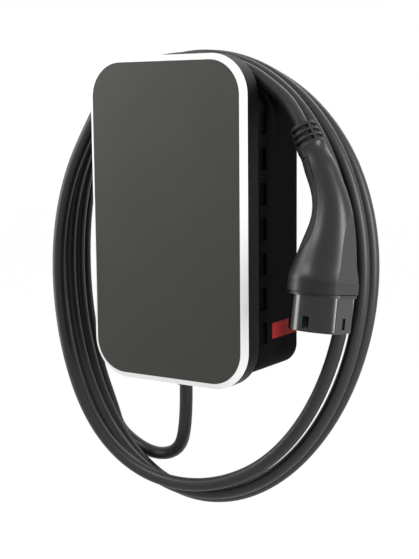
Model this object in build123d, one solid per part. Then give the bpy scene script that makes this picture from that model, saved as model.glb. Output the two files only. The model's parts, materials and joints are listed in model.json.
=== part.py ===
from build123d import *
import os
from math import cos, hypot, pi, radians, sin, tan

os.makedirs("parts", exist_ok=True)

# Wall-mounted charging box with a tethered cable, in millimetres.
# The wall is the plane y = 0, the front faces -y and z is up.
# The origin is the middle of the four wall screws, on the wall.

# Front cover and the box it closes
cover_width = 200.0
cover_height = 350.0
box_depth = 110.0
cover_corner = 43.0
rim_depth = 22.2
ring_slope_width = 6.3
ring_slope_depth = 5.3
ring_edge = 0.8
ring_flange_width = 7.5
panel_thickness = 3.0
panel_gap = 0.2
rim_wall = 3.0
ledge_width = 2.2
shelf_thickness = 3.5
locating_lip = 2.2
locating_lip_height = 6.0
fit_gap = 0.3
seam_gap = 1.0
seam_inset = 1.2

# Housing behind the cover
body_width = 199.0
body_top = 145.0
body_bottom = -162.0
body_corner = 23.5
body_top_corner = 35.0
body_wall = 4.0
floor_back = 8.0
floor_thickness = 3.5
edge_round = 1.5
corner_post_inset = 15.0
corner_post = 5.0

# Row of shallow notches along each side of the housing, behind the seam
notch_count = 7
notch_pitch = 36.7
notch_height = 23.4
notch_middle = -6.4
notch_reach = 15.5
notch_depth = 2.0
notch_corner = 2.0

# Bare plate on the right side of the housing
badge_length = 53.0
badge_height = 17.2
badge_thickness = 0.9
badge_recess = 0.6
badge_middle = -116.8
badge_corner = 1.5
badge_rear_margin = 2.0

# Wall bracket and its screws
screw_span_x = 120.0
screw_span_z = 220.0
screw_hole = 6.0
bracket_margin = 15.0
bracket_width = screw_span_x + 2 * bracket_margin
bracket_height = screw_span_z + 2 * bracket_margin
bracket_thickness = 2.0
bracket_corner = 8.0
bracket_window_width = 44.0
bracket_window_height = 48.0
hook_width = 24.0
hook_height = 10.0
hook_rise = 6.0
hook_spacing = 90.0
hook_z = 88.0
hook_play = 2.0
lock_rise = 22.0
lock_tab_width = 24.0
lock_tab_height = 16.0

# Rear supply entry
entry_z = 40.0
entry_hole = 32.0
grommet_bore = 18.0
grommet_lip = 4.0
grommet_lip_thickness = 2.5

# Screws: radius of shank and head, height of head, length of shank
screw_fit = 0.1
screw_clearance = 0.5
cover_screw = 1.55
cover_screw_head = 4.0
cover_screw_head_height = 2.6
cover_screw_length = 20.0
small_screw = 1.25
small_screw_head = 3.0
small_screw_head_height = 2.0
small_screw_length = 9.0
lock_screw_radius = 1.95
lock_screw_head = 5.0
lock_screw_head_height = 3.0
lock_screw_length = 9.0

# Boards and what they carry
board_thickness = 1.6
power_board_width = 168.0
power_board_height = 226.0
power_board_z = -14.0
board_seat = 20.0
stud_radius = 4.0
board_screw_inset = 6.0
control_board_width = 112.0
control_board_height = 84.0
control_board_z = 48.0
control_board_depth = 58.0
board_corner = 3.0

# Cable
cable_diameter = 15.0
cable_radius = cable_diameter / 2
sheath_gap = 0.1

# Cable gland in the underside of the housing
gland_x = -22.0
gland_depth = 41.0
gland_thread_radius = 12.5
gland_hex = 33.0
gland_flange = 5.0
gland_inside = 11.0
locknut_thickness = 5.0
gland_nut_length = 9.0
gland_boot_length = 15.0
gland_boot_tip = 10.2
gland_seal_wall = 2.3

# Coil: size and place of its loops at the middle turn, their drift from turn to turn and how the drift bends
coil_turns = 3
coil_half_width = 186.7
coil_half_width_drift = -9.1
coil_half_width_bend = -5.0
coil_half_height = 247.6
coil_half_height_drift = -4.0
coil_half_height_bend = 1.1
coil_middle_x = 0.6
coil_middle_x_drift = 0.3
coil_middle_x_bend = -4.5
coil_middle_z = -76.9
coil_middle_z_drift = -22.1
coil_middle_z_bend = -1.3
coil_skew = 0.121
coil_skew_drift = 0.182
coil_side_bulge = 3.0
coil_side_bulge_drift = -6.3
coil_end_bulge = -4.8
coil_end_bulge_drift = -26.0
coil_start_depth = 12.0
coil_pitch = 18.5
coil_press = 8.0
coil_press_drift = 2.6
ring_depth = 32.2
ring_thickness = 15.2
ring_slope_x = 0.0315
ring_slope_z = 0.017
ring_outside = 8.6
ring_inside = 5.6
ring_contacts = 12
coil_start = -0.12
coil_end = 3.15

# Vehicle connector: the middle of the collar's lower face, and how it hangs
connector_x = 178.3
connector_depth = 89.0
connector_z = -65.0
connector_lean = 7.5
connector_roll = 2.0
nose_radius = 31.5
nose_flat = 26.0
nose_length = 38.5
nose_wall = 3.0
nose_step = 2.6
nose_step_height = 3.0
window_width = 7.0
window_height = 11.5
window_margin = 4.0
collar_height = 11.5
collar_radius = 36.2
shell_wall = 4.6
insert_depth = 2.2
insert_gap = 0.2
post_recess = 2.5
power_post = 6.4
power_bore = 3.1
signal_post = 4.6
signal_bore = 1.6
post_floor = 26.0
contact_wall = 0.8
sleeve_length = 25.0
sleeve_top_radius = 13.6
sleeve_end_radius = 15.4
sleeve_slot = 4.3
sleeve_pitch = 6.8
sleeve_slot_depth = 3.0
sleeve_rib = 2.6

# Depths measured from the wall, all worked out from the sizes above
seam_depth = box_depth - ring_slope_depth - rim_depth
ring_back = box_depth - ring_slope_depth - ring_edge
panel_back = box_depth - panel_thickness
body_front = seam_depth - seam_gap
shelf_front = seam_depth + shelf_thickness
floor_front = floor_back + floor_thickness
body_height = body_top - body_bottom
body_middle = (body_top + body_bottom) / 2
panel_inset = ring_slope_width + panel_gap


def at_depth(depth):
    """Plane parallel to the wall, this far in front of it."""
    return Plane.XZ.offset(depth)


def plate(width, height, corner, back, thick, x=0.0, z=0.0):
    """Rounded rectangle parallel to the wall, grown towards the front."""
    return extrude(at_depth(back) * Pos(x, z) * RectangleRounded(width, height, corner), thick)


def block(width, height, back, thick, x=0.0, z=0.0):
    """Square-cornered block parallel to the wall."""
    return extrude(at_depth(back) * Pos(x, z) * Rectangle(width, height), thick)


def pin(radius, back, length, x=0.0, z=0.0):
    """Round bar square to the wall."""
    return extrude(at_depth(back) * Pos(x, z) * Circle(radius), length)


def cover_slab(inset, back, thick):
    """Slab with the cover's outline, drawn in by the same amount all round."""
    return plate(cover_width - 2 * inset, cover_height - 2 * inset, cover_corner - inset, back, thick)


def body_slab(inset, back, thick):
    """Slab with the housing's outline, drawn in by the same amount all round."""
    outline = Rectangle(body_width - 2 * inset, body_height - 2 * inset)
    outline = fillet(outline.vertices().group_by(Axis.Y)[0], body_corner - inset)
    outline = fillet(outline.vertices().group_by(Axis.Y)[-1], body_top_corner - inset)
    return extrude(at_depth(back) * Pos(0, body_middle) * outline, thick)


def screw(shank, head, head_height, length, seat, x, z):
    """Pan-head screw whose head lies on a seat, with its shank towards the wall."""
    return pin(head, seat, head_height, x, z) + pin(shank, seat - length, length, x, z)


def small_screws(seat, spots):
    """Small screws with their heads on one seat."""
    sizes = (small_screw, small_screw_head, small_screw_head_height, small_screw_length)
    return Compound([screw(*sizes, seat, x, z) for x, z in spots])


def grid(span_x, span_z, middle_z=0.0):
    """The four corners of a rectangle, as x and z."""
    return [(sx * span_x / 2, middle_z + sz * span_z / 2) for sx in (-1, 1) for sz in (-1, 1)]


def save(name, shape):
    """Write one sub-part."""
    shape.label = name
    export_step(shape, f"parts/{name}.step")


# Front panel: a flat plate with slightly eased edges
front_panel = cover_slab(panel_inset, panel_back, panel_thickness)
front_panel = fillet(front_panel.faces().sort_by(Axis.Y)[0].edges(), 0.5)
save("front_panel", front_panel)

# Light ring: a sloping band around the panel with a flange tucked under it
slope_back = at_depth(ring_back + ring_edge) * RectangleRounded(cover_width, cover_height, cover_corner)
slope_front = at_depth(box_depth) * RectangleRounded(
    cover_width - 2 * ring_slope_width,
    cover_height - 2 * ring_slope_width,
    cover_corner - ring_slope_width,
)
light_ring = loft([slope_back, slope_front], ruled=True)
light_ring += cover_slab(0, ring_back, ring_edge)
flange_front = panel_back - panel_gap
light_ring += cover_slab(rim_wall + fit_gap, ring_back, flange_front - ring_back)
light_ring -= cover_slab(ring_slope_width, flange_front, box_depth - flange_front + 1)
light_ring -= cover_slab(ring_slope_width + ring_flange_width, ring_back - 1, box_depth)
save("light_ring", light_ring)

# Panel carrier: a plate with a plinth that the panel is bonded to
carrier_back = 96.5
carrier_thickness = 2.5
carrier_inset = rim_wall + fit_gap
plinth_inset = ring_slope_width + ring_flange_width + fit_gap
plinth_wall = 3.0
rib_thickness = 2.0
rib_spacing = 55.0
carrier_screw_x = 60.0
carrier_screw_z = 166.0
carrier_front = carrier_back + carrier_thickness
panel_carrier = cover_slab(carrier_inset, carrier_back, carrier_thickness)
plinth = cover_slab(plinth_inset, carrier_front, panel_back - carrier_front)
plinth -= cover_slab(plinth_inset + plinth_wall, carrier_front, panel_back - carrier_front)
panel_carrier += plinth
plinth_inner_width = cover_width - 2 * plinth_inset - plinth_wall
for i in range(-2, 3):
    rib_height = panel_back - carrier_front
    panel_carrier += block(plinth_inner_width, rib_thickness, carrier_front, rib_height, z=i * rib_spacing)
carrier_screw_spots = grid(2 * carrier_screw_x, 2 * carrier_screw_z)
for x, z in carrier_screw_spots:
    panel_carrier -= pin(small_screw + screw_clearance, carrier_back - 1, carrier_thickness + 2, x, z)
save("panel_carrier", panel_carrier)

# Light-ring board and its lamps, in the channel under the ring's flange
led_board_thickness = 1.2
led_board_margin = 0.5
led_board_inset = carrier_inset + led_board_margin
led_board_width = plinth_inset - led_board_margin - led_board_inset
led_board = cover_slab(led_board_inset, carrier_front, led_board_thickness)
led_board -= cover_slab(led_board_inset + led_board_width, carrier_front, led_board_thickness)
for x, z in carrier_screw_spots:
    led_board -= pin(small_screw_head + screw_clearance, carrier_front - 1, led_board_thickness + 2, x, z)
save("led_board", led_board)

led_front = carrier_front + led_board_thickness
led_line_inset = led_board_inset + led_board_width / 2
led_line_x = cover_width / 2 - led_line_inset
led_line_z = cover_height / 2 - led_line_inset
led_pitch = 22.0
led_width = 3.5
led_length = 5.0
led_spots = [(side * led_line_x, led_pitch * i, led_width, led_length) for side in (-1, 1) for i in range(-5, 6)]
led_spots += [(led_pitch * i, side * led_line_z, led_length, led_width) for side in (-1, 1) for i in range(-2, 3)]
led_height = ring_back - led_front - fit_gap
leds = Compound([block(w, h, led_front, led_height, x, z) for x, z, w, h in led_spots])
save("leds", leds)

# Front cover: the rim, with a ledge for the carrier and a shelf that meets the housing
ledge_front = carrier_back
front_cover = cover_slab(0, seam_depth, ring_back - seam_depth)
front_cover = fillet(front_cover.faces().sort_by(Axis.Y)[-1].edges(), edge_round)
front_cover -= cover_slab(rim_wall, ledge_front, box_depth)
front_cover -= cover_slab(rim_wall + ledge_width, shelf_front, ledge_front - shelf_front + 1)
opening_inset = body_wall + fit_gap + locating_lip
front_cover += body_slab(body_wall + fit_gap, seam_depth - locating_lip_height, locating_lip_height)
front_cover -= body_slab(opening_inset, seam_depth - locating_lip_height - 1, 40)
post_span_x = body_width - 2 * corner_post_inset
post_span_z = body_height - 2 * corner_post_inset
corner_spots = grid(post_span_x, post_span_z, body_middle)
lug_radius = corner_post + 2.5
lip_back = seam_depth - locating_lip_height
for x, z in corner_spots:
    front_cover += pin(lug_radius, seam_depth, shelf_thickness, x, z) & body_slab(body_wall, seam_depth, shelf_thickness)
    front_cover -= pin(lug_radius + fit_gap, lip_back - 1, locating_lip_height + 1, x, z)
    front_cover -= pin(cover_screw + screw_clearance, seam_depth - 1, shelf_thickness + 2, x, z)
carrier_boss = small_screw + 2.75
for x, z in carrier_screw_spots:
    front_cover += pin(carrier_boss, shelf_front, ledge_front - shelf_front, x, z)
    front_cover -= pin(small_screw + screw_fit, carrier_front - small_screw_length - 1, small_screw_length, x, z)
save("front_cover", front_cover)

save("carrier_screws", small_screws(carrier_front, carrier_screw_spots))

# Soft seal that fills the seam between cover and housing
cover_seal = body_slab(seam_inset, body_front, seam_gap)
cover_seal -= body_slab(body_wall - 0.2, body_front - 1, seam_gap + 2)
save("cover_seal", cover_seal)

# Housing: one moulding, open to the front, with a shallow pocket at the wall
housing = body_slab(0, 0, body_front)
housing = fillet(housing.faces().sort_by(Axis.Y)[-1].edges(), edge_round)
housing -= body_slab(body_wall, floor_front, body_front)
housing -= body_slab(body_wall, -1, floor_back + 1)
cover_screw_tip = shelf_front - cover_screw_length
for x, z in corner_spots:
    housing += pin(corner_post, floor_front, body_front - floor_front, x, z)
    housing -= pin(cover_screw + screw_fit, cover_screw_tip - 1, cover_screw_length, x, z)
board_studs = grid(power_board_width - 2 * board_screw_inset, power_board_height - 2 * board_screw_inset, power_board_z)
board_front = board_seat + board_thickness
for x, z in board_studs:
    housing += pin(stud_radius, floor_front, board_seat - floor_front, x, z)
    housing -= pin(small_screw + screw_fit, board_front - small_screw_length - 0.5, small_screw_length, x, z)
notch_outline = RectangleRounded(2 * notch_reach, notch_height, notch_corner)
for i in range(notch_count):
    notch_z = notch_middle + (i - (notch_count - 1) / 2) * notch_pitch
    start = Plane.YZ.offset(body_width / 2 - notch_depth)
    notch = extrude(start * Pos(-body_front, notch_z) * notch_outline, notch_depth + 1)
    housing -= notch
    housing -= mirror(notch, Plane.YZ)
badge_plane = Plane.YZ.offset(body_width / 2 - badge_recess)
badge_y = -(badge_rear_margin + badge_length / 2)
badge_slot = RectangleRounded(badge_length + 2 * fit_gap, badge_height + 2 * fit_gap, badge_corner + fit_gap)
housing -= extrude(badge_plane * Pos(badge_y, badge_middle) * badge_slot, badge_recess + 1)
gland_hole = Pos(gland_x, -gland_depth, body_bottom) * Cylinder(gland_thread_radius + fit_gap, 4 * body_wall)
housing -= gland_hole
housing -= pin(entry_hole / 2, floor_back - 1, floor_thickness + 2, 0, entry_z)
hook_slot_height = hook_rise + 3 * hook_play
for side in (-1, 1):
    hook_x = side * hook_spacing / 2
    housing -= block(hook_width + hook_play, hook_slot_height, floor_back - 1, floor_thickness + 2, hook_x, hook_z)
lock_z = body_bottom + lock_rise
housing -= pin(lock_screw_radius + screw_clearance, floor_back - 1, floor_thickness + 2, 0, lock_z)
save("main_housing", housing)

# Bare plate in its recess on the right side
badge = extrude(
    badge_plane * Pos(badge_y, badge_middle) * RectangleRounded(badge_length, badge_height, badge_corner),
    badge_thickness,
)
badge = fillet(badge.faces().sort_by(Axis.X)[-1].edges(), 0.3)
save("side_badge", badge)

# Screws that hold the cover to the housing's corner posts
cover_screw_sizes = (cover_screw, cover_screw_head, cover_screw_head_height, cover_screw_length)
cover_screws = Compound([screw(*cover_screw_sizes, shelf_front, x, z) for x, z in corner_spots])
save("cover_screws", cover_screws)

# Wall bracket: folded sheet with two hooks that reach through the housing's floor
wall_bracket = plate(bracket_width, bracket_height, bracket_corner, 0, bracket_thickness)
wall_bracket -= plate(bracket_window_width, bracket_window_height, 10.0, -1, bracket_thickness + 2, z=entry_z)
for x, z in grid(screw_span_x, screw_span_z):
    wall_bracket -= pin(screw_hole / 2, -1, bracket_thickness + 2, x, z)
hook_base_z = hook_z - hook_rise / 2
for side in (-1, 1):
    hook_x = side * hook_spacing / 2
    arm_reach = floor_front + fit_gap + bracket_thickness
    wall_bracket += block(hook_width, bracket_thickness, 0, arm_reach, hook_x, hook_base_z)
    tip_z = hook_base_z + bracket_thickness / 2 - bracket_thickness + (hook_height + bracket_thickness) / 2
    wall_bracket += block(hook_width, hook_height, floor_front + fit_gap, bracket_thickness, hook_x, tip_z)
tab_bottom = lock_z - lock_tab_height / 2
tab_top = -bracket_height / 2
tab_overlap = 2.0
tab_height = tab_top + tab_overlap - tab_bottom
wall_bracket += block(lock_tab_width, tab_height, 0, bracket_thickness, 0, tab_bottom + tab_height / 2)
wall_bracket += pin(lock_screw_head, bracket_thickness, floor_back - bracket_thickness, 0, lock_z)
wall_bracket -= pin(lock_screw_radius + screw_fit, -1, floor_back + 2, 0, lock_z)
save("wall_bracket", wall_bracket)

lock_screw_sizes = (lock_screw_radius, lock_screw_head, lock_screw_head_height, lock_screw_length)
save("lock_screw", screw(*lock_screw_sizes, floor_front, 0, lock_z))

# Rubber grommet around the supply entry
grommet_back = floor_back - grommet_lip_thickness
grommet_length = floor_thickness + 2 * grommet_lip_thickness
grommet = pin(entry_hole / 2 + grommet_lip, floor_front, grommet_lip_thickness, 0, entry_z)
grommet += pin(entry_hole / 2 - screw_fit, floor_back, floor_thickness, 0, entry_z)
grommet += pin(entry_hole / 2 + grommet_lip, grommet_back, grommet_lip_thickness, 0, entry_z)
grommet -= pin(grommet_bore / 2, grommet_back - 1, grommet_length + 2, 0, entry_z)
save("supply_grommet", grommet)

# Power board on the housing's studs
power_front = board_front
power_board = plate(power_board_width, power_board_height, board_corner, board_seat, board_thickness, z=power_board_z)
for x, z in board_studs:
    power_board -= pin(small_screw + screw_clearance, board_seat - 1, board_thickness + 2, x, z)
board_window = entry_hole + 2 * grommet_lip + 6.0
power_board -= plate(board_window, board_window, board_corner, board_seat - 1, board_thickness + 2, z=entry_z)
save("power_board", power_board)

save("board_screws", small_screws(power_front, board_studs))

# Supply terminals above the entry window, outlet terminals at the bottom
pole_count = 5
pole_pitch = 12.0
terminal_height = 26.0
terminal_depth = 22.0
mouth_radius = 2.8
mouth_rise = 6.0
mouth_reach = 8.0
well_radius = 3.4
well_floor = 8.0


def pole_x(index, middle):
    """Sideways place of one pole of a terminal row."""
    return middle + (index - (pole_count - 1) / 2) * pole_pitch


def terminal_row(middle_x, z, mouth_side):
    """Five-pole terminal block with wire mouths and screw wells."""
    width = pole_count * pole_pitch
    row = plate(width, terminal_height, 1.5, power_front, terminal_depth, middle_x, z)
    for i in range(pole_count):
        x = pole_x(i, middle_x)
        row -= pin(well_radius, power_front + well_floor, terminal_depth, x, z)
        mouth_z = z + mouth_side * terminal_height / 2
        row -= Pos(x, -power_front - mouth_rise, mouth_z) * Cylinder(mouth_radius, 2 * mouth_reach)
    return row


clamp_screw_length = 5.0
driver_slot = 0.9
supply_terminal_z = 80.0
outlet_terminal_z = -108.0
save("supply_terminals", terminal_row(0.0, supply_terminal_z, -1))
save("outlet_terminals", terminal_row(gland_x, outlet_terminal_z, -1))


def terminal_screw_set(middle_x, z):
    """One clamping screw for each pole."""
    screws = []
    for i in range(pole_count):
        x = pole_x(i, middle_x)
        screw_back = power_front + well_floor + 1.0
        clamp = pin(well_radius - 2 * screw_fit, screw_back, clamp_screw_length, x, z)
        clamp -= block(2 * well_radius, driver_slot, screw_back + clamp_screw_length - 1.0, 2.0, x, z)
        screws.append(clamp)
    return screws


terminal_screws = Compound(terminal_screw_set(0.0, supply_terminal_z) + terminal_screw_set(gland_x, outlet_terminal_z))
save("terminal_screws", terminal_screws)

# Relays, current sensor and power supply on the power board
relay_width = 29.0
relay_height = 36.0
relay_depth = 27.0
relay_pitch = 33.0
relay_middle_x = -12.0
relay_z = -42.0
relays = []
for i in range(4):
    relay_x = relay_middle_x + (i - 1.5) * relay_pitch
    relay = plate(relay_width, relay_height, 2.0, power_front, relay_depth, relay_x, relay_z)
    relays.append(fillet(relay.faces().sort_by(Axis.Y)[0].edges(), 1.0))
save("relays", Compound(relays))

sensor_z = -72.0
sensor_radius = 17.0
sensor_hole = 9.0
sensor_depth = power_front + sensor_radius + 2.0
sensor_ring = Pos(gland_x, -sensor_depth, sensor_z) * Cylinder(sensor_radius, 12.0)
sensor_ring -= Pos(gland_x, -sensor_depth, sensor_z) * Cylinder(sensor_hole, 14.0)
sensor_ring += block(26.0, 12.0, power_front, 8.0, gland_x, sensor_z) - Pos(
    gland_x, -sensor_depth, sensor_z
) * Cylinder(sensor_radius - 1.0, 14.0)
save("current_sensor", sensor_ring)

converter_width = 38.0
converter_height = 46.0
converter_depth = 24.0
converter_x = 55.0
converter_z = -83.0
converter = plate(converter_width, converter_height, 2.0, power_front, converter_depth, converter_x, converter_z)
converter = fillet(converter.faces().sort_by(Axis.Y)[0].edges(), 1.5)
save("power_converter", converter)

capacitor_radius = 6.5
capacitor_height = 26.0
capacitor_z = -9.0
capacitors = []
for x in (34.0, 50.0, 66.0):
    can = pin(capacitor_radius, power_front, capacitor_height, x, capacitor_z)
    can = fillet(can.faces().sort_by(Axis.Y)[0].edges(), 1.0)
    capacitors.append(can)
save("capacitors", Compound(capacitors))

# Earth bar beside the supply terminals
earth_x = -62.0
earth_bar = plate(10.0, 52.0, 1.5, power_front, 8.0, earth_x, 46.0)
for i in range(4):
    earth_bar -= pin(2.2, power_front + 1.0, 10.0, earth_x, 28.0 + 12.0 * i)
save("earth_bar", earth_bar)

# Control board on spacers, with its processor, radio can and connectors
spacer_spots = grid(control_board_width - 10.0, control_board_height - 10.0, control_board_z)
spacers = []
for x, z in spacer_spots:
    spacer = extrude(at_depth(power_front) * Pos(x, z) * RegularPolygon(3.2, 6), control_board_depth - power_front)
    spacers.append(spacer)
save("board_spacers", Compound(spacers))

control_board = plate(
    control_board_width,
    control_board_height,
    board_corner,
    control_board_depth,
    board_thickness,
    z=control_board_z,
)
for x, z in spacer_spots:
    control_board -= pin(1.7, control_board_depth - 1, board_thickness + 2, x, z)
save("control_board", control_board)

control_front = control_board_depth + board_thickness
control_screws = Compound([pin(3.0, control_front, 2.0, x, z) for x, z in spacer_spots])
save("control_screws", control_screws)

processor_width = 24.0
chip_width = 10.0
chip_length = 14.0
chip_corner = 0.8
chip_height = 1.5
chip_x = 34.0 - control_board_width / 2
chips = [
    plate(processor_width, processor_width, chip_corner, control_front, chip_height, chip_x, control_board_z),
    plate(chip_length, chip_width, chip_corner, control_front, chip_height, chip_x, control_board_z + 26.0),
    plate(chip_width, chip_length, chip_corner, control_front, chip_height, chip_x + 28.0, control_board_z - 22.0),
]
save("control_chips", Compound(chips))
radio_width = 26.0
radio_height = 18.0
radio_x = control_board_width / 2 - 28.0
radio_can = plate(radio_width, radio_height, 1.0, control_front, 3.0, radio_x, control_board_z + 22.0)
radio_can = fillet(radio_can.faces().sort_by(Axis.Y)[0].edges(), 0.6)
save("radio_module", radio_can)
ring_socket = block(18.0, 6.0, control_front, 6.0, 26.0, control_board_z - 30.0)
ring_socket -= block(15.6, 3.6, control_front + 1.5, 6.0, 26.0, control_board_z - 30.0)
save("ring_lead_socket", ring_socket)

# Flat lead from the control board's socket to the carrier plate
lead_bottom = control_front + 1.8
ring_lead = block(13.0, 0.9, lead_bottom, carrier_back - lead_bottom - fit_gap, 26.0, control_board_z - 30.0)
save("ring_lead", ring_lead)

# Cable gland: threaded body, lock nut inside, clamping nut and tapered boot outside
gland_axis = Pos(gland_x, -gland_depth, 0)
sheath_bore = cable_radius + sheath_gap
gland_bore = cable_radius + 1.2


def tube_along_z(outer, inner, bottom, top):
    """Upright round tube on the gland's axis."""
    height = top - bottom
    middle = (bottom + top) / 2
    return gland_axis * Pos(0, 0, middle) * (Cylinder(outer, height) - Cylinder(inner, height + 1))


def hexagon_along_z(across, inner, bottom, top):
    """Upright hexagon with a round bore on the gland's axis."""
    outline = RegularPolygon(across / 2, 6, major_radius=False) - Circle(inner)
    return gland_axis * Pos(0, 0, bottom) * extrude(outline, top - bottom)


inner_floor = body_bottom + body_wall
gland_body = tube_along_z(gland_thread_radius, gland_bore, body_bottom, inner_floor + gland_inside)
gland_body += hexagon_along_z(gland_hex, gland_bore, body_bottom - gland_flange, body_bottom)
save("gland_body", gland_body)
locknut = hexagon_along_z(gland_hex - 2, gland_thread_radius + 0.1, inner_floor, inner_floor + locknut_thickness)
save("gland_locknut", locknut)
nut_top = body_bottom - gland_flange
nut_bottom = nut_top - gland_nut_length
gland_nut = hexagon_along_z(gland_hex, sheath_bore + 2.4, nut_bottom, nut_top)
gland_nut = chamfer(gland_nut.faces().sort_by(Axis.Z)[0].outer_wire().edges(), 1.2)
save("gland_nut", gland_nut)
gland_seal = tube_along_z(sheath_bore + 2.3, sheath_bore, nut_bottom, nut_top)
save("gland_seal", gland_seal)
boot_tip = nut_bottom - gland_boot_length
boot_profile = Polyline(
    (sheath_bore, nut_bottom),
    (gland_hex / 2 - 2.5, nut_bottom),
    (gland_hex / 2 - 3.0, nut_bottom - 2.5),
    (gland_boot_tip, boot_tip),
    (sheath_bore, boot_tip),
    close=True,
)
boot_section = make_face(Plane.XZ * boot_profile)
gland_boot = gland_axis * revolve(boot_section, Axis.Z)
for i in range(3):
    groove_z = nut_bottom - 4.2 - 3.6 * i
    groove_ring = Cylinder(20.0, 1.5) - Cylinder(gland_boot_tip - 1.0, 2.0)
    gland_boot -= gland_axis * Pos(0, 0, groove_z) * groove_ring
save("gland_boot", gland_boot)

# Cable inside the gland and its five cores up to the outlet terminals
sheath_top = inner_floor + gland_inside + 4.0
sheath_end = gland_axis * Pos(0, 0, (sheath_top + boot_tip) / 2) * Cylinder(cable_radius, sheath_top - boot_tip)
save("cable_inner_end", sheath_end)

core_radius = 2.2
core_start = 4.6
cores = []
mouth_depth = power_front + 6.0
terminal_mouth = outlet_terminal_z - terminal_height / 2
for i in range(pole_count):
    angle = radians(180.0 - 45.0 * i)
    start_x = gland_x + core_start * cos(angle)
    start_y = -gland_depth + core_start * sin(angle) * 0.9
    end_x = pole_x(i, gland_x)
    route = [
        (start_x, start_y, sheath_top),
        (start_x, start_y, sheath_top + 6.0),
        (end_x, -mouth_depth, terminal_mouth - 7.0),
        (end_x, -mouth_depth, terminal_mouth + 5.0),
    ]
    line = FilletPolyline(*route, radius=4.0)
    cores.append(sweep(Plane(line @ 0, z_dir=line % 0) * Circle(core_radius), path=line))
save("outlet_cores", Compound(cores))

# Vehicle connector, drawn upright about its own axis and then hung in place
lean = radians(connector_lean)
roll = radians(connector_roll)
connector_up = Vector(sin(roll), sin(lean) * cos(roll), cos(lean) * cos(roll))
connector_side = Vector(1, 0, 0) - connector_up * connector_up.X
connector_frame = Plane(
    origin=(connector_x, -connector_depth, connector_z), x_dir=connector_side, z_dir=connector_up
)


def hang(shape):
    """Move a connector piece from its own upright frame to where it hangs."""
    return connector_frame.location * shape


# Handle stations: height and sideways place of the middle, half width and lean of the section
handle_stations = [
    (collar_height, -0.4, collar_radius, 0.0),
    (24.0, -0.2, 33.6, 2.0),
    (37.0, 1.0, 30.4, 5.0),
    (50.0, 2.1, 27.6, 4.0),
    (66.0, 2.7, 23.6, 0.0),
    (82.0, 1.2, 20.4, -10.0),
    (97.0, -3.0, 18.2, -20.0),
    (112.0, -9.6, 17.0, -27.0),
    (128.0, -18.4, 16.2, -31.0),
    (144.0, -28.0, 15.7, -33.5),
]
handle_depth_ratio = 0.96
facet_start = 27.0
facet_tilt = -3.6


def station_plane(height, side, tilt):
    """Plane square to the handle's middle line."""
    angle = radians(tilt)
    return Plane(origin=(side, 0, height), x_dir=(cos(angle), 0, -sin(angle)), z_dir=(sin(angle), 0, cos(angle)))


def handle_form(inset):
    """Solid of the handle, drawn in by the same amount all round."""
    sections = []
    for height, side, half, tilt in handle_stations:
        outline = Ellipse(half - inset, (half - inset) * handle_depth_ratio)
        sections.append(station_plane(height, side, tilt) * outline)
    return loft(sections)


# Region of the inlaid grip, on the hollow side of the handle
insert_line = Spline(
    (-31.0, 150.0),
    (-18.0, 122.0),
    (-10.5, 104.0),
    (-6.2, 86.0),
    (-6.0, 68.0),
    (-9.0, 51.0),
    (-18.5, 41.0),
    (-33.0, 37.0),
)
insert_back = Polyline((-33.0, 37.0), (-75.0, 37.0), (-75.0, 150.0), (-31.0, 150.0))
insert_outline = Plane.XZ * (insert_line + insert_back)
insert_region = extrude(make_face(insert_outline), 60.0, both=True)
insert_top = station_plane(136.0, -23.0, -32.0)
insert_region -= insert_top * Pos(0, 0, 40.0) * Box(160.0, 160.0, 80.0)

facet = station_plane(collar_height, facet_start, facet_tilt)
facet_cut = Box(80.0, 120.0, 200.0)
handle_outer = handle_form(0) - facet * Pos(40.0, 0, 60.0) * facet_cut
handle_inner = handle_form(shell_wall) - facet * Pos(40.0 - shell_wall, 0, 60.0) * facet_cut
handle_layer = handle_outer - handle_form(insert_depth)
grip_insert = handle_layer & insert_region
handle_shell = handle_outer - handle_inner - grip_insert
grip_insert -= handle_form(insert_depth - insert_gap)
save("handle_shell", hang(handle_shell))
save("grip_insert", hang(grip_insert))


def nose_outline(radius, flat):
    """Round outline with one flat on its outer side."""
    cut = Pos(flat + radius, 0) * Rectangle(2 * radius, 4 * radius)
    return Circle(radius) - cut


# Collar between handle and nose
nose_collar = extrude(nose_outline(collar_radius, facet_start + 0.7), collar_height)
nose_collar = fillet(nose_collar.faces().sort_by(Axis.Z)[0].edges(), 1.2)
step_radius = nose_radius + nose_step
nose_collar += Pos(0, 0, -nose_step_height) * extrude(nose_outline(step_radius, nose_flat + nose_step), nose_step_height)
nose_bore_radius = nose_radius + 0.2
nose_bore_flat = nose_flat + 0.2
collar_bore = Pos(0, 0, -nose_step_height - 1) * extrude(nose_outline(nose_bore_radius, nose_bore_flat), collar_height)
nose_collar -= collar_bore
nose_collar -= Cylinder(nose_radius - 4.5, 4 * collar_height)
save("nose_collar", hang(nose_collar))

# Nose: D-shaped shroud with locking windows
nose_top = collar_height - nose_step_height - 1.4
shroud = Pos(0, 0, -nose_length) * extrude(nose_outline(nose_radius, nose_flat), nose_length + nose_top)
flat_edges = shroud.edges().filter_by(Axis.Z)
shroud = fillet(flat_edges.filter_by(lambda e: abs(e.center().X - nose_flat) < 0.1), 2.5)
inner_outline = nose_outline(nose_radius - nose_wall, nose_flat - nose_wall)
shroud_bore = extrude(inner_outline, nose_length + nose_top + 2)
shroud -= Pos(0, 0, -nose_length - 1) * shroud_bore
shroud_rim = shroud.faces().sort_by(Axis.Z)[0].outer_wire().edges()
shroud = fillet(shroud_rim, 0.9)
window_z = -nose_length + window_margin + window_height / 2
for angle in (0.0, 90.0, -90.0):
    shroud -= Rot(0, 0, angle) * Pos(nose_radius, 0, window_z) * Box(14.0, window_width, window_height)
save("nose_shroud", hang(shroud))

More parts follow.
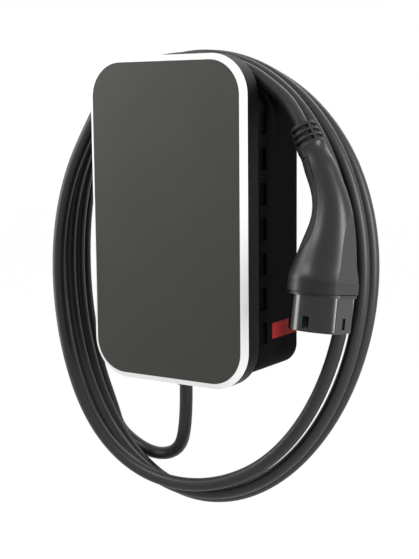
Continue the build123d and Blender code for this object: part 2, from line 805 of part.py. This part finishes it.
# Contact carrier: a deep floor, and the seven round posts pressed into it
power_ring = 16.4
power_spots = [(0.0, 0.0), (1.0, power_ring), (1.0, -power_ring), (-14.4, 8.4), (-14.4, -8.4)]
signal_spots = [(14.6, 7.4), (14.6, -7.4)]
carrier_floor_z = -nose_length + post_floor
carrier_outline = nose_outline(nose_radius - nose_wall - 0.2, nose_flat - nose_wall - 0.2)
contact_carrier = Pos(0, 0, carrier_floor_z) * extrude(carrier_outline, nose_top - carrier_floor_z)
post_tip = -nose_length + post_recess
post_length = nose_top - post_tip - 3.0
contact_posts = []
for spots, post, bore in ((power_spots, power_post, power_bore), (signal_spots, signal_post, signal_bore)):
    for x, y in spots:
        seat = Pos(x, y, post_tip) * extrude(Circle(post + 0.1), post_length)
        contact_carrier -= seat
        socket = Pos(x, y, post_tip - 1) * extrude(Circle(bore + contact_wall + 0.1), post_length)
        contact_posts.append(Pos(x, y, post_tip) * extrude(Circle(post), post_length) - socket)
save("contact_carrier", hang(contact_carrier))
save("contact_posts", hang(Compound(contact_posts)))


def socket_contact(x, y, bore):
    """Turned socket contact, open towards the nose."""
    length = nose_top - post_tip - 8.5
    body = Pos(x, y, post_tip + 1.5) * extrude(Circle(bore + contact_wall), length)
    return body - Pos(x, y, post_tip) * extrude(Circle(bore), length - 6.0)


save("power_contacts", hang(Compound([socket_contact(x, y, power_bore) for x, y in power_spots])))
save("signal_contacts", hang(Compound([socket_contact(x, y, signal_bore) for x, y in signal_spots])))

# Bend-protection sleeve with three rows of windows
sleeve_height, sleeve_side, sleeve_half, sleeve_tilt = handle_stations[-1]
sleeve_plane = station_plane(sleeve_height, sleeve_side, sleeve_tilt)
sleeve_profile = Polyline(
    (sheath_bore, 0),
    (sleeve_end_radius, 0),
    (sleeve_top_radius, sleeve_length),
    (sheath_bore, sleeve_length),
    close=True,
)
sleeve = revolve(make_face(Plane.XZ * sleeve_profile), Axis.Z)
sleeve = fillet(sleeve.faces().sort_by(Axis.Z)[-1].outer_wire().edges(), 1.0)
for i in range(3):
    slot_z = 3.6 + sleeve_slot / 2 + i * sleeve_pitch
    middle_radius = sleeve_end_radius + (sleeve_top_radius - sleeve_end_radius) * slot_z / sleeve_length
    slots = Cylinder(middle_radius + 2, sleeve_slot) - Cylinder(middle_radius - sleeve_slot_depth, sleeve_slot + 1)
    for angle in (35.0, 145.0):
        slots -= Rot(0, 0, angle) * Box(80.0, sleeve_rib, 10.0)
    sleeve -= Pos(0, 0, slot_z) * slots
save("strain_sleeve", hang(sleeve_plane.location * sleeve))

# Cable end, clamp and cores inside the handle
clamp_length = 12.0
clamp_drop = 20.0
inner_end_length = sleeve_length + clamp_drop + clamp_length + 2.0
handle_cable = Pos(0, 0, sleeve_length - inner_end_length) * extrude(Circle(cable_radius), inner_end_length)
save("cable_handle_end", hang(sleeve_plane.location * handle_cable))

cord_clamp = handle_form(shell_wall + fit_gap) & (
    sleeve_plane.location * Pos(0, 0, -clamp_drop - clamp_length / 2) * Box(60, 60, clamp_length)
)
cord_clamp -= sleeve_plane.location * Pos(0, 0, -clamp_drop) * Cylinder(sheath_bore, 4 * clamp_length)
save("cord_clamp", hang(cord_clamp))

bundle_top = sleeve_plane.from_local_coords(Vector(0, 0, sleeve_length - inner_end_length))
bundle_bend = sleeve_plane.from_local_coords(Vector(0, 0, sleeve_length - inner_end_length - 22.0))
bundle_route = FilletPolyline(
    bundle_top,
    bundle_bend,
    Vector(2.4, 0, 62.0),
    Vector(0, 0, 34.0),
    Vector(0, 0, nose_top),
    radius=[30.0, 50.0, 60.0],
)
bundle_start = Plane(bundle_route @ 0, z_dir=bundle_route % 0)
core_bundle = sweep(bundle_start * Circle(5.6), path=bundle_route)
save("core_bundle", hang(core_bundle))


def loop_place(turn, stage):
    """Sideways and upright place on a loop of the coil, at a stage of its drift."""
    angle = 2 * pi * turn
    drift = stage - coil_turns / 2
    bend = drift**2
    half_width = coil_half_width + coil_half_width_drift * drift + coil_half_width_bend * bend
    half_height = coil_half_height + coil_half_height_drift * drift + coil_half_height_bend * bend
    side_bulge = coil_side_bulge + coil_side_bulge_drift * drift
    end_bulge = coil_end_bulge + coil_end_bulge_drift * drift
    x = coil_middle_x + coil_middle_x_drift * drift + coil_middle_x_bend * bend + side_bulge * cos(2 * angle)
    skew = coil_skew + coil_skew_drift * drift
    x -= half_width * cos(angle) * (1 + skew * sin(angle))
    z = coil_middle_z + coil_middle_z_drift * drift + coil_middle_z_bend * bend + end_bulge * cos(2 * angle)
    z += half_height * sin(angle)
    return x, z


def coil_place(turn):
    """Middle of the cable after so many turns, counted from the left side of the first."""
    x, z = loop_place(turn, turn)
    press = (coil_press + coil_press_drift * turn) * (1 - cos(2 * pi * turn)) / 2
    return Vector(x, press - coil_start_depth - coil_pitch * turn, z)


def coil_heading(turn):
    """Direction of the cable after so many turns."""
    return (coil_place(turn + 0.001) - coil_place(turn - 0.001)).normalized()


def tube(points, name):
    """Cable stretch of straight runs joined by arcs as large as the runs allow."""
    runs = [(points[i + 1] - points[i]).length for i in range(len(points) - 1)]
    radii = []
    for i in range(1, len(points) - 1):
        turn = (points[i] - points[i - 1]).get_angle(points[i + 1] - points[i])
        radii.append(0.45 * min(runs[i - 1], runs[i]) / tan(radians(turn) / 2))
    path = FilletPolyline(*points, radius=radii)
    print(name, "radii", [round(r) for r in radii], "length", round(path.length))
    return sweep(Plane(path @ 0, z_dir=path % 0) * Circle(cable_radius), path=path)


# Cable from the gland down, round its lowest bend and behind the coil
lead_points = [
    Vector(gland_x, -gland_depth, boot_tip),
    Vector(gland_x, -gland_depth, -238.0),
    Vector(-47.0, -21.0, -280.0),
    Vector(-96.0, -8.6, -293.5),
    Vector(-144.0, -7.8, -270.5),
    coil_place(coil_start),
]
cable_lead = tube(lead_points, "cable_lead")
save("cable_lead", cable_lead)

# Cable from the top left of the coil over the housing and down to the connector's sleeve
sleeve_top = connector_frame.from_local_coords(sleeve_plane.from_local_coords(Vector(0, 0, sleeve_length)))
sleeve_above = connector_frame.from_local_coords(sleeve_plane.from_local_coords(Vector(0, 0, sleeve_length + 26.0)))
drop_points = [
    coil_place(coil_end),
    Vector(-110.0, -67.8, 131.0),
    Vector(-74.0, -68.0, 162.0),
    Vector(-22.0, -67.0, 172.0),
    Vector(30.0, -66.5, 172.0),
    Vector(76.0, -66.5, 160.0),
    Vector(106.0, -66.5, 141.0),
    sleeve_above,
    sleeve_top,
]
print("sleeve above", tuple(round(c, 1) for c in sleeve_above), "top", tuple(round(c, 1) for c in sleeve_top))
cable_drop = tube(drop_points, "cable_drop")
save("cable_drop", cable_drop)


def crossing(first, first_run, second, second_run):
    """Point where two straight lines in one plane meet."""
    share = (second - first).cross(second_run).Z / first_run.cross(second_run).Z
    return first + first_run * share


def ring_outline(stage, offset):
    """Closed outline of arcs and short lines along a loop, grown outwards by an offset."""
    touches = []
    runs = []
    for i in range(ring_contacts):
        turn = i / ring_contacts
        x, z = loop_place(turn, stage)
        ahead_x, ahead_z = loop_place(turn + 0.001, stage)
        behind_x, behind_z = loop_place(turn - 0.001, stage)
        run = Vector(ahead_x - behind_x, ahead_z - behind_z).normalized()
        touches.append(Vector(x - offset * run.Y, z + offset * run.X))
        runs.append(run)
    corners = []
    radii = []
    for i in range(ring_contacts):
        n = (i + 1) % ring_contacts
        corner = crossing(touches[i], runs[i], touches[n], runs[n])
        reach = 0.98 * min((corner - touches[i]).length, (touches[n] - corner).length)
        corners.append(corner)
        radii.append(reach / tan(radians(runs[i].get_angle(runs[n])) / 2))
    return make_face(FilletPolyline(*corners, radius=radii, close=True))


# Coil: a closed ring for each turn, lying on the next, and the two strands that leave them
ring_heading = (ring_slope_x, -1, ring_slope_z)
ring_plane = Plane(origin=(0, -ring_depth, 0), x_dir=(1, ring_slope_x, 0), z_dir=ring_heading)
cable_coil = None
for k in range(coil_turns):
    outline = ring_outline(k + 0.5, ring_outside) - ring_outline(k + 0.5, -ring_inside)
    ring_start = (k - coil_turns / 2) * ring_thickness
    ring = extrude(ring_plane.offset(ring_start) * outline, ring_thickness)
    cable_coil = ring if cable_coil is None else cable_coil + ring
entering = [coil_place(coil_start + 0.05 * i) for i in range(6)]
entering[1] = entering[0] + (entering[0] - lead_points[-2]).normalized() * (entering[1] - entering[0]).length
leaving = [coil_place(coil_end - 0.05 * i) for i in range(6)]
leaving[1] = leaving[0] + (leaving[0] - drop_points[1]).normalized() * (leaving[1] - leaving[0]).length
cable_coil += tube(entering, "coil entry")
cable_coil += tube(leaving, "coil exit")
save("cable_coil", cable_coil)
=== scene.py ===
"""Looks of a wall-mounted charging box, its coiled cable and its connector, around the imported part."""

import json
from math import cos, pi, sin

import bmesh
import bpy
from mathutils import Matrix, Vector


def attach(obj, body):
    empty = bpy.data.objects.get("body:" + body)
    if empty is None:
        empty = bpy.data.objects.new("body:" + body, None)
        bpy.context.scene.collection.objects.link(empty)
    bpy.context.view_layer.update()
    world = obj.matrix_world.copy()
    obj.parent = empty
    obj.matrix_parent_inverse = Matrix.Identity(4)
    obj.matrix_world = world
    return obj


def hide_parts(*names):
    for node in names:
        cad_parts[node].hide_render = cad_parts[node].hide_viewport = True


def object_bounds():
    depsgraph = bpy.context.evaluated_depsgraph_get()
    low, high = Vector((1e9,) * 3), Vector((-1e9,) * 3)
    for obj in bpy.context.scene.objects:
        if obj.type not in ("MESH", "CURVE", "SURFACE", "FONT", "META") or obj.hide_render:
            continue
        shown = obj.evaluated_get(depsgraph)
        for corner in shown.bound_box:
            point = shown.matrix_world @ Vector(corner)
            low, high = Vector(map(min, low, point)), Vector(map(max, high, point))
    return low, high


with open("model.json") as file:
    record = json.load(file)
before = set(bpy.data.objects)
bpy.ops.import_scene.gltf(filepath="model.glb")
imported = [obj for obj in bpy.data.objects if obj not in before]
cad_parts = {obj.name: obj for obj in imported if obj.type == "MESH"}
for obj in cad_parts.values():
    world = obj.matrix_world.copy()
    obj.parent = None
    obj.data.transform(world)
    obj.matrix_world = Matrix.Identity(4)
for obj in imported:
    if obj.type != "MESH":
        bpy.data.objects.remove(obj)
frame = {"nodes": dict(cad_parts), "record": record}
nodes = frame["nodes"]
cad_low, cad_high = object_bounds()

MM = 0.001

# Cable, in mm
CABLE_DIAMETER = 15.0

# Coil: its loops at the middle turn, their drift from turn to turn and the drift's bend, in mm
COIL_TURNS = 3
COIL_START = -0.14
COIL_END = 3.165
HALF_WIDTH, HALF_WIDTH_DRIFT, HALF_WIDTH_BEND = 192.5, -5.1, -4.7
HALF_HEIGHT, HALF_HEIGHT_DRIFT, HALF_HEIGHT_BEND = 244.2, -8.4, -1.5
MIDDLE_X, MIDDLE_X_DRIFT, MIDDLE_X_BEND = -0.8, 0.7, -4.0
MIDDLE_Z, MIDDLE_Z_DRIFT, MIDDLE_Z_BEND = -77.8, -21.8, 0.9
SKEW, SKEW_DRIFT = 0.085, 0.175
SIDE_BULGE, SIDE_BULGE_DRIFT = 4.3, -6.3
END_BULGE, END_BULGE_DRIFT = -5.6, -27.3
# Slack waves that grow with each turn: sideways and upright
SLACK_X = (2.5, 3.7)
SLACK_Z = (-2.7, 3.5)
# Depth of the first turn, the step from turn to turn, and how far the right side is pressed back
START_DEPTH = 12.0
TURN_PITCH = 18.5
PRESS, PRESS_DRIFT = 8.0, 2.6
POINTS_PER_TURN = 36

# Grip inlay: how far its outline is eased, in mm, and the turn from which an edge is one, in radians
GRIP_GROOVE = 1.1
SHARP_TURN = 0.9
# Its mesh: points closer than this are one, in mm, and faces that turn less are flat, in radians
MERGE_GAP = 0.01
FLAT_TURN = 0.002

# Floor: how far it lies below the part, and half its side, in metres
FLOOR_DROP = 0.25
FLOOR_HALF = 6.0
# What the camera sees of it: the share of its own shaded colour, and the white that makes up the rest
SHADOW_SHARE = 0.04
FLOOR_WHITE = 1.03
# Strength of the world's light on everything
WORLD_LIGHT = 0.15

# Camera at the photograph's place and angle, in metres, radians and pixels
CAMERA_PLACE = (0.73678, -1.14869, 0.11811)
CAMERA_YAW, CAMERA_PITCH, CAMERA_ROLL = 0.58, 0.1404, -0.0092
FOCAL_PIXELS = 1203.9
PHOTO_HEIGHT = 559
SENSOR = 36.0

# Cable route from the gland to the coil, in mm
LEAD_ROUTE = [
    (-22.0, -41.0, -191.0),
    (-22.0, -41.0, -238.0),
    (-47.0, -21.0, -280.0),
    (-96.0, -8.6, -293.5),
    (-144.0, -7.8, -270.5),
]
# Cable route from the coil to the connector's sleeve
DROP_ROUTE = [
    (-110.0, -67.8, 131.0),
    (-74.0, -68.0, 162.0),
    (-22.0, -67.0, 172.0),
    (30.0, -66.5, 172.0),
    (76.0, -66.5, 160.0),
    (106.0, -66.5, 141.0),
    (128.7, -64.4, 121.8),
    (142.3, -67.3, 99.8),
]


def coil_place(turn):
    """Middle of the cable after so many turns, counted from the left side of the first."""
    angle = 2 * pi * turn
    drift = turn - COIL_TURNS / 2
    bend = drift**2
    half_width = HALF_WIDTH + HALF_WIDTH_DRIFT * drift + HALF_WIDTH_BEND * bend
    half_height = HALF_HEIGHT + HALF_HEIGHT_DRIFT * drift + HALF_HEIGHT_BEND * bend
    side_bulge = SIDE_BULGE + SIDE_BULGE_DRIFT * drift
    end_bulge = END_BULGE + END_BULGE_DRIFT * drift
    skew = SKEW + SKEW_DRIFT * drift
    x = MIDDLE_X + MIDDLE_X_DRIFT * drift + MIDDLE_X_BEND * bend + side_bulge * cos(2 * angle)
    x -= half_width * cos(angle) * (1 + skew * sin(angle))
    z = MIDDLE_Z + MIDDLE_Z_DRIFT * drift + MIDDLE_Z_BEND * bend + end_bulge * cos(2 * angle)
    z += half_height * sin(angle)
    x += turn * (SLACK_X[0] * sin(3 * angle) + SLACK_X[1] * cos(3 * angle))
    z += turn * (SLACK_Z[0] * sin(3 * angle) + SLACK_Z[1] * cos(3 * angle))
    press = (PRESS + PRESS_DRIFT * turn) * (1 - cos(angle)) / 2
    return (x, press - START_DEPTH - TURN_PITCH * turn, z)


def linear(code):
    """Linear colour from an sRGB hex value."""
    shares = [int(code[i : i + 2], 16) / 255 for i in (0, 2, 4)]
    return [s / 12.92 if s <= 0.04045 else ((s + 0.055) / 1.055) ** 2.4 for s in shares] + [1.0]


def add(tree, kind, inputs=None, **settings):
    """Add one node with its settings; an input is a value or another node's output."""
    node = tree.nodes.new(kind)
    for name, value in settings.items():
        setattr(node, name, value)
    for socket, value in (inputs or {}).items():
        if isinstance(value, bpy.types.NodeSocket):
            tree.links.new(value, node.inputs[socket])
        else:
            node.inputs[socket].default_value = value
    return node


def surface(name, colour, roughness, metallic=0.0):
    """New material with one Principled surface; returns the material, its tree and that surface."""
    material = bpy.data.materials.new(name)
    material.use_nodes = True
    tree = material.node_tree
    face = tree.nodes["Principled BSDF"]
    face.inputs["Base Color"].default_value = linear(colour)
    face.inputs["Roughness"].default_value = roughness
    face.inputs["Metallic"].default_value = metallic
    return material, tree, face


def grained(name, colour, worn, roughness, grain, height, patch=60.0, specular=0.5):
    """Plastic or rubber from a tool with an even grain: its grain, height and patches are in mm."""
    material, tree, face = surface(name, colour, roughness)
    face.inputs["Specular IOR Level"].default_value = specular
    place = add(tree, "ShaderNodeTexCoord").outputs["Object"]
    fine = add(
        tree,
        "ShaderNodeTexNoise",
        {"Vector": place, "Scale": 1 / (grain * MM), "Detail": 2.0, "Roughness": 0.5},
    )
    broad = add(
        tree,
        "ShaderNodeTexNoise",
        {"Vector": place, "Scale": 1 / (patch * MM), "Detail": 3.0, "Roughness": 0.55},
    )
    tint = add(tree, "ShaderNodeMix", {"Factor": broad.outputs["Fac"]}, data_type="RGBA")
    tint.inputs["A"].default_value = linear(colour)
    tint.inputs["B"].default_value = linear(worn)
    tree.links.new(tint.outputs["Result"], face.inputs["Base Color"])
    polish = add(
        tree,
        "ShaderNodeMapRange",
        {"Value": fine.outputs["Fac"], "To Min": roughness - 0.05, "To Max": roughness + 0.05},
    )
    tree.links.new(polish.outputs["Result"], face.inputs["Roughness"])
    relief = add(
        tree,
        "ShaderNodeBump",
        {"Height": fine.outputs["Fac"], "Strength": 0.6, "Distance": height * MM},
    )
    tree.links.new(relief.outputs["Normal"], face.inputs["Normal"])
    return material


def plated(name, colour, dull, roughness, grain):
    """Plated or bare metal: its tone and polish wander over the grain, in mm."""
    material, tree, face = surface(name, colour, roughness, metallic=1.0)
    place = add(tree, "ShaderNodeTexCoord").outputs["Object"]
    cloud = add(
        tree,
        "ShaderNodeTexNoise",
        {"Vector": place, "Scale": 1 / (grain * MM), "Detail": 4.0, "Roughness": 0.6},
    )
    tint = add(tree, "ShaderNodeMix", {"Factor": cloud.outputs["Fac"]}, data_type="RGBA")
    tint.inputs["A"].default_value = linear(colour)
    tint.inputs["B"].default_value = linear(dull)
    tree.links.new(tint.outputs["Result"], face.inputs["Base Color"])
    polish = add(
        tree,
        "ShaderNodeMapRange",
        {"Value": cloud.outputs["Fac"], "To Min": roughness - 0.08, "To Max": roughness + 0.08},
    )
    tree.links.new(polish.outputs["Result"], face.inputs["Roughness"])
    return material


def galvanised_sheet():
    """Hot-dip zinc: flat crystals of a slightly different grey, 9 mm across."""
    material, tree, face = surface("galvanised_steel_sheet", "a4a7aa", 0.42, metallic=1.0)
    place = add(tree, "ShaderNodeTexCoord").outputs["Object"]
    crystals = add(tree, "ShaderNodeTexVoronoi", {"Vector": place, "Scale": 1 / (9 * MM)})
    tone = add(tree, "ShaderNodeSeparateColor", {"Color": crystals.outputs["Color"]})
    tint = add(tree, "ShaderNodeMix", {"Factor": tone.outputs["Red"]}, data_type="RGBA")
    tint.inputs["A"].default_value = linear("9da1a5")
    tint.inputs["B"].default_value = linear("adb0b3")
    tree.links.new(tint.outputs["Result"], face.inputs["Base Color"])
    polish = add(
        tree,
        "ShaderNodeMapRange",
        {"Value": tone.outputs["Green"], "To Min": 0.38, "To Max": 0.46},
    )
    tree.links.new(polish.outputs["Result"], face.inputs["Roughness"])
    return material


def lit_diffuser():
    """Opal polycarbonate, moulded and lit from behind: even white with no lamp spots."""
    material, tree, face = surface("lit_opal_polycarbonate", "9a9b9b", 0.4)
    face.inputs["Emission Color"].default_value = linear("ffffff")
    face.inputs["Emission Strength"].default_value = 0.45
    place = add(tree, "ShaderNodeTexCoord").outputs["Object"]
    ripple = add(tree, "ShaderNodeTexNoise", {"Vector": place, "Scale": 1 / (14 * MM), "Detail": 1.0})
    relief = add(
        tree,
        "ShaderNodeBump",
        {"Height": ripple.outputs["Fac"], "Strength": 0.2, "Distance": 0.05 * MM},
    )
    tree.links.new(relief.outputs["Normal"], face.inputs["Normal"])
    return material


def board_laminate(name, mask, track):
    """Circuit board under solder mask: tracks show through it as a slightly lighter net."""
    material, tree, face = surface(name, mask, 0.32)
    place = add(tree, "ShaderNodeTexCoord").outputs["Object"]
    net = add(
        tree,
        "ShaderNodeTexBrick",
        {"Vector": place, "Scale": 1 / (20 * MM), "Mortar Size": 0.03, "Mortar Smooth": 0.2},
    )
    net.inputs["Color1"].default_value = linear(mask)
    net.inputs["Color2"].default_value = linear(mask)
    net.inputs["Mortar"].default_value = linear(track)
    tree.links.new(net.outputs["Color"], face.inputs["Base Color"])
    return material


finishes = {
    # ABS moulded in a spark-eroded tool: flat and warm grey, with no clear reflection
    "panel_dark_grey": grained("panel_spark_textured_abs", "3f3f3c", "444441", 0.6, 0.7, 0.03, specular=0.03),
    "light_ring": lit_diffuser(),
    # ABS from a satin tool: near-black, with a soft bright line where it turns at the corners
    "rim_black": grained("rim_satin_abs", "030303", "050505", 0.42, 0.5, 0.01, specular=0.06),
    # ABS from a coarser tool: almost no gloss, so the notches show by their shade alone
    "housing_black": grained("housing_textured_abs", "040405", "070708", 0.7, 0.8, 0.04, specular=0.03),
    # Polycarbonate film under gloss: deep even red
    "badge_red": grained("red_gloss_polycarbonate", "801b1a", "88201e", 0.45, 1.2, 0.01, specular=0.04),
    # Glass-filled nylon, moulded: dull black with faint grey flow clouds
    "black_plastic": grained("black_glass_filled_nylon", "121212", "171717", 0.55, 0.8, 0.03),
    # Epoxy case of potted parts: slightly shinier black
    "relay_black": grained("black_potting_case", "141414", "181818", 0.42, 1.0, 0.02),
    "board_white": board_laminate("white_solder_mask_laminate", "d3d5ce", "dfe1da"),
    "board_green": board_laminate("green_solder_mask_laminate", "0f4a2b", "19663c"),
    # Clear epoxy lens over phosphor: pale yellow with a sharp gloss
    "led_lens": grained("clear_lamp_lens_over_phosphor", "efe3a6", "f3ecc4", 0.2, 1.5, 0.01),
    # Polyamide terminal bodies, moulded: light grey, dull
    "terminal_grey": grained("grey_polyamide", "9b9d9f", "a2a4a6", 0.5, 0.9, 0.02),
    # Extruded PVC ribbon: plain grey with a slight sheen
    "ribbon_grey": grained("grey_pvc_ribbon", "8d8d8d", "969696", 0.5, 1.2, 0.02),
    # Steel screws, zinc plated in a drum: cool grey with duller spots
    "screw_steel": plated("zinc_plated_steel_screws", "b4b4b0", "9c9c98", 0.35, 1.5),
    "bracket_zinc": galvanised_sheet(),
    # Aluminium can, deep drawn: bright and even
    "can_aluminium": plated("drawn_aluminium_can", "cfcfd1", "c2c2c4", 0.38, 3.0),
    # Steel shield can, tinned: bright with faint clouds
    "can_steel": plated("tinned_steel_can", "bdbdbb", "adadab", 0.3, 3.0),
    # Brass, turned: warm and bright, darker in places
    "brass": plated("turned_brass", "b89758", "a58547", 0.32, 2.0),
    # Copper contacts, silver plated: warm white metal that has begun to tarnish
    "contact_silver": plated("silver_plated_copper", "d6d2c8", "c4bfb2", 0.25, 1.0),
    # EPDM rubber, moulded: dead black
    "seal_rubber": grained("moulded_epdm_rubber", "0d0d0d", "121212", 0.7, 0.8, 0.04),
    # Polyamide gland, moulded: dull black with soft lights on the hexagon's edges
    "gland_black": grained("moulded_polyamide_gland", "111112", "161617", 0.5, 0.8, 0.03, specular=0.3),
    # TPE boot, moulded: black and matte
    "gland_rubber": grained("moulded_tpe_boot", "121212", "171717", 0.62, 0.8, 0.04, specular=0.3),
    # TPE sleeve, moulded over the cable: dark grey and matte, so the windows read as black
    "sleeve_rubber": grained("moulded_tpe_sleeve", "161616", "1a1a1a", 0.55, 0.8, 0.04, specular=0.25),
    # TPU sheath, extruded: dark grey with a broad soft line of light along each strand
    "cable_sheath": grained("extruded_tpu_cable_sheath", "202020", "262626", 0.42, 1.4, 0.05, 45.0, 0.25),
    # Core insulation, extruded: smooth bluish grey
    "core_insulation": grained("extruded_core_insulation", "2d2d31", "34343a", 0.45, 1.4, 0.02),
    # Polyamide from a spark-eroded tool: mid grey that fades softly round the handle
    "handle_grey": grained("handle_spark_textured_pa", "1c1c1b", "212120", 0.34, 0.7, 0.04, specular=0.24),
    # Soft-touch TPE, moulded into the handle: darker than it, with no gloss
    "grip_black": grained("inlaid_soft_touch_tpe", "161616", "1a1a1a", 0.6, 0.6, 0.05, specular=0.2),
    # Polyamide collar, moulded: dark grey, a little shinier than the handle
    "collar_grey": grained("collar_textured_pa", "171717", "1c1c1c", 0.34, 0.7, 0.03, specular=0.22),
    # Polyamide nose from a satin tool: black with upright bands of light
    "nose_black": grained("nose_satin_pa", "090909", "0d0d0d", 0.17, 0.9, 0.02, specular=0.45),
    # Polyamide contact carrier, moulded: black and dull
    "carrier_black": grained("contact_carrier_pa", "161616", "1a1a1a", 0.5, 0.9, 0.03),
}

# Every part that the CAD shapes already give keeps its mesh and takes its slot's finish
for subpart in frame["record"]["subparts"]:
    mesh = nodes[subpart["node"]].data
    mesh.materials.clear()
    mesh.materials.append(finishes[subpart["material_slot"]])


def eased_grip():
    """The grip inlay with its outline eased, which leaves a fine groove against the handle."""
    mesh = nodes["grip_insert"].data.copy()
    shape = bmesh.new()
    shape.from_mesh(mesh)
    bmesh.ops.remove_doubles(shape, verts=shape.verts, dist=MERGE_GAP * MM)
    bmesh.ops.dissolve_limit(shape, angle_limit=FLAT_TURN, verts=shape.verts, edges=shape.edges)
    inner = [edge for edge in shape.edges if len(edge.link_faces) == 2]
    corners = [edge for edge in inner if edge.calc_face_angle() > SHARP_TURN]
    width = GRIP_GROOVE * MM
    bmesh.ops.bevel(shape, geom=corners, offset=width, segments=1, affect="EDGES", clamp_overlap=False)
    shape.to_mesh(mesh)
    shape.free()
    piece = bpy.data.objects.new("eased_grip_insert", mesh)
    bpy.context.scene.collection.objects.link(piece)
    return piece


eased_grip_insert = eased_grip()
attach(eased_grip_insert, "root")
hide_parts("grip_insert")


def cable():
    """The whole cable as one smooth line: lead, coil and drop."""
    count = round((COIL_END - COIL_START) * POINTS_PER_TURN)
    stages = [COIL_START + (COIL_END - COIL_START) * i / count for i in range(count + 1)]
    points = LEAD_ROUTE + [coil_place(stage) for stage in stages] + DROP_ROUTE
    line = bpy.data.curves.new("charging_cable", "CURVE")
    line.dimensions = "3D"
    spline = line.splines.new("NURBS")
    spline.points.add(len(points) - 1)
    for point, place in zip(spline.points, points):
        point.co = (*[c * MM for c in place], 1.0)
    spline.order_u = 3
    spline.use_endpoint_u = True
    line.resolution_u = 5
    line.bevel_depth = CABLE_DIAMETER / 2 * MM
    line.bevel_resolution = 5
    line.use_fill_caps = True
    line.materials.append(finishes["cable_sheath"])
    piece = bpy.data.objects.new("charging_cable", line)
    bpy.context.scene.collection.objects.link(piece)
    return piece


charging_cable = cable()
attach(charging_cable, "root")
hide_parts("cable_lead", "cable_coil", "cable_drop")


def white_to_the_camera(tree):
    """1 for rays that show the background, and 0 for rays that light the object."""
    ray = add(tree, "ShaderNodeLightPath").outputs
    inputs = {0: ray["Is Camera Ray"], 1: ray["Is Glossy Ray"]}
    seen = add(tree, "ShaderNodeMath", inputs, operation="MAXIMUM")
    inputs = {0: seen.outputs[0], 1: ray["Is Transmission Ray"]}
    return add(tree, "ShaderNodeMath", inputs, operation="MAXIMUM").outputs[0]


# Floor: pale, and white to the camera, with the object's soft shadow kept
floor_mesh = bpy.data.meshes.new("floor")
floor_shape = bmesh.new()
floor_place = Matrix.Translation((0, 0, cad_low.z - FLOOR_DROP))
bmesh.ops.create_grid(floor_shape, x_segments=1, y_segments=1, size=FLOOR_HALF, matrix=floor_place)
floor_shape.to_mesh(floor_mesh)
floor_shape.free()
floor = bpy.data.objects.new("floor", floor_mesh)
bpy.context.scene.collection.objects.link(floor)
paint, tree, face = surface("pale_studio_floor", "e9e9e9", 0.9)
inputs = {0: white_to_the_camera(tree), 1: 1 - SHADOW_SHARE}
share = add(tree, "ShaderNodeMath", inputs, operation="MULTIPLY")
white = add(tree, "ShaderNodeEmission", {"Strength": FLOOR_WHITE})
inputs = {"Fac": share.outputs[0], 1: face.outputs["BSDF"], 2: white.outputs["Emission"]}
blend = add(tree, "ShaderNodeMixShader", inputs)
tree.links.new(blend.outputs["Shader"], tree.nodes["Material Output"].inputs["Surface"])
floor_mesh.materials.append(paint)

# World: white where it is seen, a plain soft light on everything else
world = bpy.data.worlds.new("studio")
world.use_nodes = True
bpy.context.scene.world = world
tree = world.node_tree
inputs = {"Value": white_to_the_camera(tree), "To Min": WORLD_LIGHT, "To Max": 1.0}
strength = add(tree, "ShaderNodeMapRange", inputs)
tree.nodes["Background"].inputs["Color"].default_value = linear("ffffff")
tree.links.new(strength.outputs["Result"], tree.nodes["Background"].inputs["Strength"])


def soft_lamp(name, place, target, width, height, power):
    """Upright softbox at a place, turned towards a target, all in metres and watts."""
    lamp = bpy.data.lights.new(name, "AREA")
    lamp.shape = "RECTANGLE"
    lamp.size = width
    lamp.size_y = height
    lamp.energy = power
    holder = bpy.data.objects.new(name, lamp)
    holder.location = place
    holder.rotation_euler = (Vector(target) - Vector(place)).to_track_quat("-Z", "Y").to_euler()
    bpy.context.scene.collection.objects.link(holder)


soft_lamp("key_softbox", (-0.28, -0.46, 0.46), (-0.06, -0.1, 0.06), 0.35, 0.35, 4.9)
soft_lamp("right_softbox", (1.6, -0.18, 0.3), (0.15, -0.05, 0), 0.5, 1.3, 46.0)
soft_lamp("left_softbox", (-1.5, -0.62, 0.1), (0.1, -0.1, -0.1), 0.5, 1.3, 15.0)
soft_lamp("back_softbox", (0.2, 1.5, 1.2), (0, 0, 0), 1.4, 1.4, 12.0)

optics = bpy.data.cameras.new("camera")
optics.sensor_width = SENSOR
optics.lens = FOCAL_PIXELS * SENSOR / PHOTO_HEIGHT
camera = bpy.data.objects.new("camera", optics)
camera_turn = Matrix.Rotation(CAMERA_YAW, 4, "Z") @ Matrix.Rotation(pi / 2 - CAMERA_PITCH, 4, "X")
camera_turn = camera_turn @ Matrix.Rotation(CAMERA_ROLL, 4, "Z")
camera.matrix_world = Matrix.Translation(CAMERA_PLACE) @ camera_turn
bpy.context.scene.collection.objects.link(camera)
bpy.context.scene.camera = camera

bpy.context.scene.view_settings.view_transform = "Standard"
